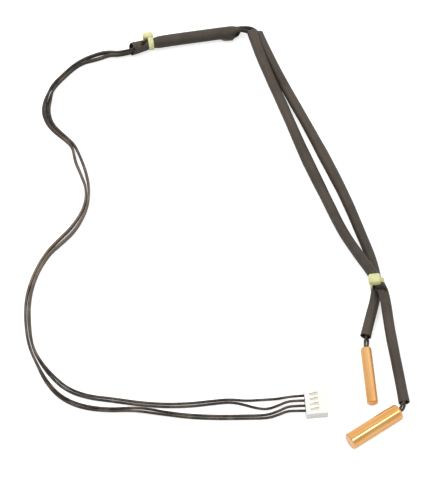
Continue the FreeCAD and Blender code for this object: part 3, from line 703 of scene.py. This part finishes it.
# ---- leads ----
class SENSOR_OT_free_leads(bpy.types.Operator):
    """Lays the four loose leads from the trunk sleeve's mouth to the plug"""
    bl_idname = "sensor.free_leads"
    bl_label = "Loose leads"

    def execute(self, context):
        leads = context.scene.sensor_leads
        finish = known("Lead jacket", jacket_finish)
        for number, (route, run) in enumerate(FREE_LEADS, start=1):
            lead = guide(f"free_lead_{number}", route, leads.diameter / 2)
            dress(lead, "harness", "lead_jacket", finish, f"lead_{number}_free")
        return {"FINISHED"}


class SENSOR_OT_sheathed_leads(bpy.types.Operator):
    """Runs the leads on through the trunk sleeve and the branch sleeves"""
    bl_idname = "sensor.sheathed_leads"
    bl_label = "Leads in the sleeves"

    def execute(self, context):
        leads = context.scene.sensor_leads
        finish = known("Lead jacket", jacket_finish)
        for pair, elbow, branch, probe in ((THICK_LEADS, THICK_ELBOW, THICK_BRANCH_ROUTE, "thick"),
                                           (THIN_LEADS, THIN_ELBOW, THIN_BRANCH_ROUTE, "thin")):
            for name, side, level in pair:
                left, up = side * leads.pitch / 2, level * leads.pitch / 2
                start = FREE_LEADS[int(name[-1]) - 1][0][0]
                end = probe_place(probe)["lead_start"] + Vector((0.0, 0.0, up))
                route = ([start] + beside(TRUNK_ROUTE, left, up)[1:-1]
                         + [(x, y, z + up) for x, y, z in elbow]
                         + beside(branch, 0.0, up)[1:-1] + [tuple(end)])
                lead = guide(f"sheathed_{name}", route, leads.diameter / 2)
                dress(lead, "harness", "lead_jacket", finish, f"{name}_sheathed")
        return {"FINISHED"}


def probe_place(probe):
    """Where a probe's leads and capsule lie, from its branch sleeve's end and its joint."""
    leads, capsules = bpy.context.scene.sensor_leads, bpy.context.scene.sensor_capsules
    route = THICK_BRANCH_ROUTE if probe == "thick" else THIN_BRANCH_ROUTE
    last, end = Vector(route[-2]), Vector(route[-1])
    out = Vector((end.x - last.x, end.y - last.y, 0.0)).normalized()
    radius = getattr(capsules, f"{probe}_diameter") / 2
    turn = getattr(capsules, f"{probe}_heading")
    heading = Vector((math.cos(turn), math.sin(turn), 0.0))
    pivot = Vector(JOINTS[f"{probe}_probe_swing"]["pos_m"])
    open_end = pivot + heading * NECK_REACH[probe]
    open_end.z = radius
    start = Vector((end.x, end.y, pivot.z)) - out * leads.mouth_setback
    return {"radius": radius, "turn": turn, "heading": heading, "out": out, "pivot": pivot,
            "open_end": open_end, "lead_start": start}


class SENSOR_OT_bare_pairs(bpy.types.Operator):
    """Twists each bare pair of leads from its sleeve into its capsule"""
    bl_idname = "sensor.bare_pairs"
    bl_label = "Bare pairs"

    def execute(self, context):
        leads = context.scene.sensor_leads
        finish = known("Lead jacket", jacket_finish)
        for probe, pair in (("thick", THICK_LEADS), ("thin", THIN_LEADS)):
            place = probe_place(probe)
            pivot, out, heading = place["pivot"], place["out"], place["heading"]
            before, after = pivot - out * NECK_CUT[probe], pivot + heading * NECK_CUT[probe]
            aside = Vector((NECK_ASIDE[probe], 0.0, 0.0))
            neck = [place["lead_start"] + aside, before + aside, after + aside,
                    place["open_end"] + heading * 0.001,
                    place["open_end"] + heading * leads.into_capsule]
            for name, _, level in pair:
                line = guide(f"{name}_way", neck)
                run, radius = run_length(line), leads.diameter / 2
                steps = [(run * i / BARE_RINGS, radius, radius, 0.0)
                         for i in range(1, BARE_RINGS + 1)]
                bar = rings(f"bare_{name}", (0.0, radius), steps, BARE_SIDES)
                for at in (0.0, run):
                    fill(bar, lambda spot: abs(spot.x - at) < 1e-5)
                bar.location.z = level * leads.pitch / 2
                settle(bar)
                recalculate(bar)
                turn = bar.modifiers.new("Twist", "SIMPLE_DEFORM")
                turn.deform_method, turn.deform_axis = "TWIST", "X"
                turn.angle = leads.twist
                apply_all(bar)
                follow(bar, line)
                smooth(bar)
                dress(bar, None, "lead_jacket", finish, f"{name}_neck", f"{name}_entry")
                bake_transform(bar)
        return {"FINISHED"}


# ---- sleeves ----
def sleeve(name, line, radius, step, shape, tied):
    """A soft sleeve along a line, its rings twice as close near its tie.

    shape gives each ring's width and height against the radius.
    """
    run = run_length(line)
    count = round(run / step)
    steps = []
    for half in range(1, 2 * count + 1):
        on = run * half / count / 2
        if half % 2 == 0 or abs(on - tied) < FINE_RINGS:
            across, up = shape(on, run)
            steps.append((on, radius * across, radius * up, -radius * max(0.0, up - 1.0)))
    tube = rings(name, (0.0, radius), steps)
    across, up = shape(0.0, run)
    edit(tube, "VERT", lambda place: place.x < 1e-5)
    bpy.ops.transform.resize(value=(1.0, across, up), center_override=(0.0, 0.0, -radius))
    leave_edit()
    recalculate(tube)
    facing = sum(face.normal.y * face.center.y + face.normal.z * face.center.z
                 for face in tube.data.polygons)
    if facing < 0.0:
        edit(tube)
        bpy.ops.mesh.flip_normals()
        leave_edit()
    return tube, run


def finish_sleeve(tube, line, wall, finish, node):
    """Gives a sleeve its wall and rims and lays it along its line."""
    shell = tube.modifiers.new("Wall", "SOLIDIFY")
    shell.thickness, shell.offset = wall, -1.0
    round_edges(tube, wall * 0.3, 2, 60.0)
    follow(tube, line)
    smooth(tube, 50.0)
    dress(tube, "harness", "sleeve_tubing", finish, node)


def slant(tube, start, step, degrees, axis):
    """Turns a sleeve's first or last few rings, each less than the one nearer to the end."""
    for i in range(SLANTED_RINGS):
        at = start + i * step
        edit(tube, "VERT", lambda place: abs(place.x - at) < abs(step) / 4)
        turn = math.radians(degrees * (1.0 - i / SLANTED_RINGS))
        bpy.ops.transform.rotate(value=turn, orient_axis=axis,
                                 orient_type="GLOBAL", center_override=(at, 0.0, 0.0))
        leave_edit()


def push(tube, test, way, times):
    """Pushes a soft dent or bulge into a sleeve."""
    edit(tube, "VERT", test)
    bpy.ops.transform.translate(value=way)
    bpy.ops.mesh.select_more()
    bpy.ops.mesh.vertices_smooth(factor=0.5, repeat=times)
    leave_edit()


def crease(tube, middle, lean, above, least, most):
    """Pushes a slanting crease into a soft sleeve's top, between two distances to its left."""
    push(tube, lambda place: place.z > above and least < place.y < most
         and abs(place.x - middle - place.y * lean) < CREASE_WIDTH / 2,
         (0.0, 0.0, -CREASE_DEPTH), 2)


def hump(value, middle, width):
    """1 at the middle, falling smoothly to 0 away from it."""
    return math.exp(-((value - middle) / width) ** 2)


class SENSOR_OT_trunk_sleeve(bpy.types.Operator):
    """Makes the wide sleeve that holds all four leads"""
    bl_idname = "sensor.trunk_sleeve"
    bl_label = "Trunk sleeve"

    def execute(self, context):
        sleeves = context.scene.sensor_sleeves
        # The trunk gets strong painted shade low down (0.9); the branches get a weaker one (0.35).
        finish = known("Trunk tubing", tubing_finish, sleeves.tubing, sleeves.shade, 0.9,
                       sleeves.trunk_diameter)
        radius, step = sleeves.trunk_diameter / 2, TRUNK_RING_STEP
        line = guide("trunk_way", TRUNK_ROUTE[:-1] + TRUNK_END)
        tied = nearest(line, TRUNK_TIE[0])

        def shape(on, run):
            # The tie's waist, a fold before it, a flare at each end, and the far end closing in.
            pinch, fold = 0.25 * hump(on, tied, PINCH_LENGTH), 0.10 * hump(on, tied - 0.004, 0.002)
            flare = 0.04 * hump(on, 0.0, 0.002) + 0.04 * hump(on, run - 0.004, 0.003)
            close = 0.10 * hump(on, run, 0.002)
            return 1.0 - pinch - fold + flare - close, 1.0 - pinch + 0.3 * fold + flare - close
        tube, run = sleeve("trunk_tubing", line, radius, step, shape, tied)
        step = run / round(run / step)
        crease(tube, tied - 0.0035, 0.7, 0.0002, -0.0012, sleeves.trunk_diameter)
        # A bulge towards -Y near the far end.
        push(tube, lambda place: run - 0.0085 < place.x < run - 0.002 and place.y < 0.0
             and -0.0024 < place.z < 0.0006, (0.0, -0.0011, -0.0002), 4)
        slant(tube, 0.0, step, -18.0, "Y")
        slant(tube, run, -step, 32.0, "Z")
        finish_sleeve(tube, line, sleeves.trunk_wall, finish, "trunk_sleeve")
        worn = known("Worn tubing", tubing_finish, sleeves.lip, sleeves.tubing, 0.0,
                     sleeves.trunk_diameter)
        # A paler brown, painted light on the flared lip, covers the side of the far end that faces
        # -Y.
        choose(tube)
        bpy.ops.object.material_slot_add()
        tube.material_slots[1].material = worn
        end = Vector(TRUNK_END[-1])
        edit(tube, "FACE", lambda face: -0.0085 < face.center.x - end.x < -0.0015
             and face.center.z < 0.0032 and face.center.y < end.y - 0.0022 and face.normal.y < 0.2)
        tube.active_material_index = 1
        bpy.ops.object.material_slot_assign()
        leave_edit()
        return {"FINISHED"}


class SENSOR_OT_branch_sleeves(bpy.types.Operator):
    """Makes the two long sleeves that cross on their way to the capsules"""
    bl_idname = "sensor.branch_sleeves"
    bl_label = "Branch sleeves"

    def execute(self, context):
        sleeves = context.scene.sensor_sleeves
        finish = known("Branch tubing", tubing_finish, sleeves.tubing, sleeves.shade, 0.35,
                       sleeves.branch_diameter)
        for name, route, flattened in (("thick", THICK_BRANCH_ROUTE, (0.0233, 0.0316)),
                                       ("thin", THIN_BRANCH_ROUTE, (0.0326, 0.0316))):
            line = guide(f"{name}_branch_way", route)
            tied, widest = nearest(line, CROSSING_TIE[0]), nearest(line, flattened)

            def shape(on, run):
                # The tie's waist, a long slack stretch, uneven widths and a flare at each end.
                pinch, slack = hump(on, tied, PINCH_LENGTH), 0.13 * hump(on, widest, 0.019)
                wave = 0.012 * math.sin(on * 180.0) + 0.01 * math.sin(on * 410.0 + 1.0)
                flare = 0.03 * (hump(on, 0.0, 0.003) + hump(on, run, 0.002))
                return (1.0 - 0.1 * pinch + slack + wave + flare,
                        1.0 - 0.02 * pinch - wave + flare)
            tube, _ = sleeve(f"{name}_branch_tubing", line, sleeves.branch_diameter / 2,
                             sleeves.ring_step, shape, tied)
            if name == "thick":
                crease(tube, tied + 0.0046, 0.8, 0.0004, -sleeves.branch_diameter, 0.0014)
            finish_sleeve(tube, line, sleeves.branch_wall, finish, f"{name}_branch_sleeve")
        return {"FINISHED"}


# ---- cable ties ----
def tie_strap(half_width, low, high):
    """The strap's loop, in the tie's own frame: X across, Y along the bundle, Z up."""
    ties = bpy.context.scene.sensor_ties
    deselect()
    bpy.ops.mesh.primitive_circle_add(
        vertices=48, radius=half_width, fill_type="NOTHING",
        location=(0.0, -ties.strap_width / 2, low + half_width), rotation=(math.pi / 2, 0.0, 0.0))
    strap = bpy.context.object
    settle(strap)
    middle = low + half_width
    edit(strap, "VERT", lambda place: place.z > middle + 1e-6)
    bpy.ops.transform.translate(value=(0.0, 0.0, high - low - 2 * half_width))
    leave_edit()
    edit(strap)
    extrude(0.0, ties.strap_width, 0.0)
    leave_edit()
    recalculate(strap)
    loop = strap.modifiers.new("Thickness", "SOLIDIFY")
    loop.thickness, loop.offset, loop.use_even_offset = ties.strap_thickness, 1.0, True
    round_edges(strap, ties.strap_round, 3, 60.0)
    return strap


def tie_head():
    """The moulded head, standing on the strap, with the tail cut flush in its slot."""
    ties = bpy.context.scene.sensor_ties
    high, rim, slot_share = ties.head_height, 0.0006, 0.36
    sunk, gap, tail = 0.00008, 0.00012, 0.0001
    head = box("head", (ties.head_length, ties.head_width, high), (0.0, 0.0, high / 2))
    round_edges(head, ties.head_round, 5, 30.0)
    edit(head, "FACE", lambda face: face.normal.z > 0.99)
    bpy.ops.mesh.inset(thickness=rim)
    bpy.ops.transform.resize(value=(slot_share, 1.0, 1.0), center_override=(0.0, 0.0, high))
    extrude(0.0, 0.0, -sunk)
    bpy.ops.mesh.inset(thickness=gap)
    extrude(0.0, 0.0, tail)
    leave_edit()
    return head


def cable_tie(name, node, place, opening, head_place, head_angle, slide):
    """A whole tie, set round its bundle. place is its middle and its heading."""
    ties = bpy.context.scene.sensor_ties
    strap, head = tie_strap(*opening), tie_head()
    head.rotation_euler = (0.0, math.radians(90.0 - head_angle), 0.0)
    head.location = (head_place[0], slide, head_place[1])
    settle(head)
    tie = join(name, [strap, head])
    tie.rotation_euler = (0.0, 0.0, math.radians(place[1] + 90.0))
    tie.location = place[0]
    settle(tie)
    smooth(tie, 40.0)
    finish = known("Tie nylon", nylon_finish, ties.nylon, ties.shade, 0.25)
    dress(tie, "harness", "tie_nylon", finish, node)


class SENSOR_OT_cable_ties(bpy.types.Operator):
    """Ties the trunk sleeve's end, and the two branch sleeves where they cross"""
    bl_idname = "sensor.cable_ties"
    bl_label = "Cable ties"

    def execute(self, context):
        lean, half = math.radians(TRUNK_HEAD_ANGLE), TRUNK_OPENING[0]
        cable_tie("trunk_cable_tie", "trunk_tie", TRUNK_TIE, TRUNK_OPENING,
                  (math.cos(lean) * half, math.sin(lean) * half),
                  TRUNK_HEAD_ANGLE, TRUNK_HEAD_SLIDE)
        cable_tie("crossing_cable_tie", "crossing_tie", CROSSING_TIE, CROSSING_OPENING,
                  CROSSING_HEAD, CROSSING_HEAD_ANGLE, CROSSING_HEAD_SLIDE)
        return {"FINISHED"}


# ---- plug ----
def contact(number):
    """A stamped contact: its hollow box with a lance, and its two crimps."""
    plug = bpy.context.scene.sensor_plug
    across = (2.5 - number) * plug.pitch
    (start, end), wide, tall = CONTACT_BOX, plug.contact_width, plug.contact_height
    sheet, hollow, lance_share, lance_from, lance_up = 0.00025, 0.004, 0.55, 0.0048, 0.00016
    body = box("body", (end - start, wide, tall), ((start + end) / 2, 0.0, 0.0))
    edit(body, "FACE", lambda face: face.normal.x > 0.9)
    bpy.ops.mesh.inset(thickness=sheet)
    extrude(-hollow, 0.0, 0.0)
    leave_edit()
    edit(body, "FACE", lambda face: face.normal.z > 0.9)
    bpy.ops.mesh.inset(thickness=0.0003)
    bpy.ops.transform.resize(value=(lance_share, 1.0, 1.0),
                             center_override=(lance_from, 0.0, tall / 2))
    extrude(-0.0002, 0.0, lance_up)
    leave_edit()
    parts = [body]
    for name, middle, long, radius in CRIMPS:
        deselect()
        bpy.ops.mesh.primitive_cylinder_add(vertices=24, radius=radius, depth=long,
                                            location=(middle, 0.0, 0.0),
                                            rotation=(0.0, math.pi / 2, 0.0))
        barrel = bpy.context.object
        barrel.name = name
        settle(barrel)
        edit(barrel, "VERT", lambda place: place.z > radius * 0.9)      # pressed flatter on top
        bpy.ops.transform.translate(value=(0.0, 0.0, -radius * 0.18))
        leave_edit()
        parts.append(barrel)
    piece = join(f"contact_{number}", parts)
    round_edges(piece, 0.00006, 2, 50.0)
    piece.location = (0.0, across, plug.contact_level)
    settle(piece)
    piece.rotation_euler = (0.0, 0.0, plug.heading)
    piece.location = PLUG_PLACE
    settle(piece)
    smooth(piece)
    finish = known("Contact metal", metal_finish, plug.metal, 0.5)
    return dress(piece, "harness", "contact_metal", finish, f"crimp_terminal_{number}")


class SENSOR_OT_plug(bpy.types.Operator):
    """Finishes the plug's housing and makes its four contacts"""
    bl_idname = "sensor.plug"
    bl_label = "Plug"

    def execute(self, context):
        plug = context.scene.sensor_plug
        repaint(["connector_housing"],
                known("Housing nylon", nylon_finish, plug.housing, plug.housing, 0.15))
        for number in range(1, 5):
            contact(number)
        return {"FINISHED"}


# ---- probes ----
class SENSOR_OT_capsules(bpy.types.Operator):
    """Turns the two copper capsules, each rolled in at its open end"""
    bl_idname = "sensor.capsules"
    bl_label = "Copper capsules"

    def execute(self, context):
        capsules = context.scene.sensor_capsules
        for probe in ("thick", "thin"):
            place = probe_place(probe)
            radius, mouth = place["radius"], getattr(capsules, f"{probe}_mouth") / 2
            wall, inner = capsules.wall, radius - capsules.wall
            full, nose = getattr(capsules, f"{probe}_length"), capsules.shoulder
            edge, ease = capsules.edge_round, 0.0002
            turns = [math.radians(15.0 * i) for i in range(7)]
            # (along, radius) from inside the closed end, out over the mouth and back.
            outline = [(full - wall, inner * 0.5), (full - wall, inner - ease),
                       (full - wall - ease, inner), (nose + ease, inner),
                       (nose, inner - ease / 2), (wall * 0.6, mouth + ease / 2),
                       (wall * 0.3, mouth), (0.0, mouth + ease / 4), (0.0, mouth + ease)]
            outline += [(nose * (1.0 - math.cos(turn)),
                         mouth + ease + (radius - mouth - ease) * math.sin(turn))
                        for turn in turns[1:]]
            outline += [(full * share, radius) for share in (0.2, 0.5, 0.8)]
            outline += [(full - edge + edge * math.sin(turn), radius - edge + edge * math.cos(turn))
                        for turn in turns]
            outline.append((full, (radius - edge) * 0.6))
            shell = rings(f"{probe}_copper", (full - wall, inner * 0.25),
                          [(along, wide, wide, 0.0) for along, wide in outline], CAPSULE_SIDES)
            fill(shell, lambda spot: math.hypot(spot.y, spot.z) < inner * 0.26)
            fill(shell, lambda spot: abs(spot.x - full) < 1e-7
                 and math.hypot(spot.y, spot.z) < (radius - edge) * 0.61)
            recalculate(shell)
            shell.rotation_euler = (0.0, 0.0, place["turn"])
            shell.location = place["open_end"]
            settle(shell)
            smooth(shell, 30.0)
            finish = known(f"Copper {probe}", copper_finish, place["turn"],
                           COPPER_ROUGHNESS[probe])
            dress(shell, f"{probe}_probe", "copper", finish, f"{probe}_capsule")
        return {"FINISHED"}


class SENSOR_OT_sensing_parts(bpy.types.Operator):
    """Finishes what each capsule holds: resin, glass bead, wires and splices"""
    bl_idname = "sensor.sensing_parts"
    bl_label = "Sensing parts"

    def execute(self, context):
        capsules = context.scene.sensor_capsules
        finishes = {
            "potting": known("Potting resin", resin_finish, capsules.resin, 0.35),
            "bead": known("Bead glass", resin_finish, GLASS, 0.08),
            "bead_leg": known("Tinned wire", metal_finish, TINNED_WIRE, 0.3),
            "splice": known("Splice metal", metal_finish, SPLICE_METAL, 0.35),
            "splice_sleeve": known("Splice insulation", resin_finish, INSULATION, 0.4)}
        for name in frame["nodes"]:
            for probe in ("thick", "thin"):
                if name.startswith(f"{probe}_"):
                    kind = name[len(probe) + 1:].rstrip("_12")
                    if kind in finishes:
                        repaint([name], finishes[kind])
        return {"FINISHED"}


# ---- stage ----
def by_ray(nodes, lighting, seen, mirrored):
    """A value that differs as it lights the part, is seen by the camera, or is mirrored."""
    ray = nodes.new("ShaderNodeLightPath")
    value = lighting
    for kind, other in (("Is Glossy Ray", mirrored), ("Is Camera Ray", seen)):
        pick = nodes.new("ShaderNodeMix")
        for socket, source in ((0, ray.outputs[kind]), (2, value), (3, other)):
            feed(pick, socket, source)
        value = pick.outputs[0]
    return value


class SENSOR_OT_stage(bpy.types.Operator):
    """Sets a white floor, broad soft lamps and white surroundings"""
    bl_idname = "sensor.stage"
    bl_label = "Stage"

    def execute(self, context):
        stage = context.scene.sensor_stage
        deselect()
        bpy.ops.mesh.primitive_plane_add(size=FLOOR_SIZE, location=(0.0, 0.0, 0.0))
        floor = context.object
        floor.name = "floor"
        finish, nodes, shader = new_finish("Floor")
        feed_all(shader, Base_Color=(0.8, 0.8, 0.8, 1.0), Roughness=1.0, Specular_IOR_Level=0.0,
                 Emission_Color=(1.0, 1.0, 1.0, 1.0),
                 Emission_Strength=by_ray(nodes, 0.0, stage.floor_glow, stage.mirrored_floor))
        paint(floor, finish)

        world = bpy.data.worlds.new("Surroundings")
        context.scene.world = world
        world.use_nodes = True
        nodes = world.node_tree.nodes
        way = nodes.new("ShaderNodeTexCoord")
        # As metal mirrors them, they brighten towards one side and have one darker patch.
        parts = []
        for toward, low, high, least, most in (
                (BRIGHT_SIDE, -1.0, 1.0,
                 stage.mirrored - BRIGHT_RANGE, stage.mirrored + BRIGHT_RANGE),
                (DARK_PATCH, PATCH_EDGE, PATCH_MIDDLE, 0.0, -PATCH_DEPTH)):
            side = nodes.new("ShaderNodeVectorMath")
            side.operation = "DOT_PRODUCT"
            feed(side, 0, way.outputs["Generated"])
            feed(side, 1, toward)
            parts.append(spread(nodes, side.outputs["Value"], low, high, least, most))
        feed_all(nodes["Background"], Color=(1.0, 1.0, 1.0, 1.0), Strength=by_ray(
            nodes, stage.surroundings, 1.0, added(nodes, *parts, False)))

        # The key lamp points at the part. The strip lamp points straight down, turned about Z.
        for name, place, turn, size, power in (("key_lamp", *KEY_LAMP, stage.key_power),
                                               ("strip_lamp", *STRIP_LAMP, stage.strip_power)):
            deselect()
            bpy.ops.object.light_add(type="AREA", location=place)
            lamp = context.object
            lamp.name = name
            if turn:
                lamp.rotation_euler = (0.0, 0.0, math.radians(turn))
            else:
                lamp.rotation_euler = (-Vector(place)).to_track_quat("-Z", "Y").to_euler()
                lamp.visible_glossy = False
            lamp.data.shape = "RECTANGLE"
            lamp.data.size, lamp.data.size_y = size
            lamp.data.energy = power
        context.scene.view_settings.view_transform = "Standard"
        return {"FINISHED"}


# ---- panel and registration ----
OPERATORS = (
    SENSOR_OT_camera, SENSOR_OT_plug, SENSOR_OT_free_leads, SENSOR_OT_sheathed_leads,
    SENSOR_OT_bare_pairs, SENSOR_OT_trunk_sleeve, SENSOR_OT_branch_sleeves,
    SENSOR_OT_cable_ties, SENSOR_OT_capsules, SENSOR_OT_sensing_parts, SENSOR_OT_stage,
)
SETTINGS = (
    ("sensor_leads", LeadSettings), ("sensor_sleeves", SleeveSettings),
    ("sensor_ties", TieSettings), ("sensor_plug", PlugSettings),
    ("sensor_capsules", CapsuleSettings), ("sensor_stage", StageSettings),
)


class SENSOR_PT_panel(bpy.types.Panel):
    """Lists the harness's pieces and their settings"""
    bl_idname = "SENSOR_PT_panel"
    bl_label = "Sensor harness"
    bl_space_type = "VIEW_3D"
    bl_region_type = "UI"
    bl_category = "Sensor"

    def draw(self, context):
        for operator in OPERATORS:
            self.layout.operator(operator.bl_idname)
        for name, group in SETTINGS:
            held = self.layout.box()
            for setting in group.__annotations__:
                held.prop(getattr(context.scene, name), setting)


def register():
    for name, group in SETTINGS:
        bpy.utils.register_class(group)
        setattr(bpy.types.Scene, name, bpy.props.PointerProperty(type=group))
    for operator in OPERATORS:
        bpy.utils.register_class(operator)
    bpy.utils.register_class(SENSOR_PT_panel)


def unregister():
    bpy.utils.unregister_class(SENSOR_PT_panel)
    for operator in reversed(OPERATORS):
        bpy.utils.unregister_class(operator)
    for name, group in reversed(SETTINGS):
        delattr(bpy.types.Scene, name)
        bpy.utils.unregister_class(group)


def main():
    register()
    for operator in OPERATORS:
        group, name = operator.bl_idname.split(".")
        getattr(getattr(bpy.ops, group), name)()


if __name__ == "__main__":
    main()
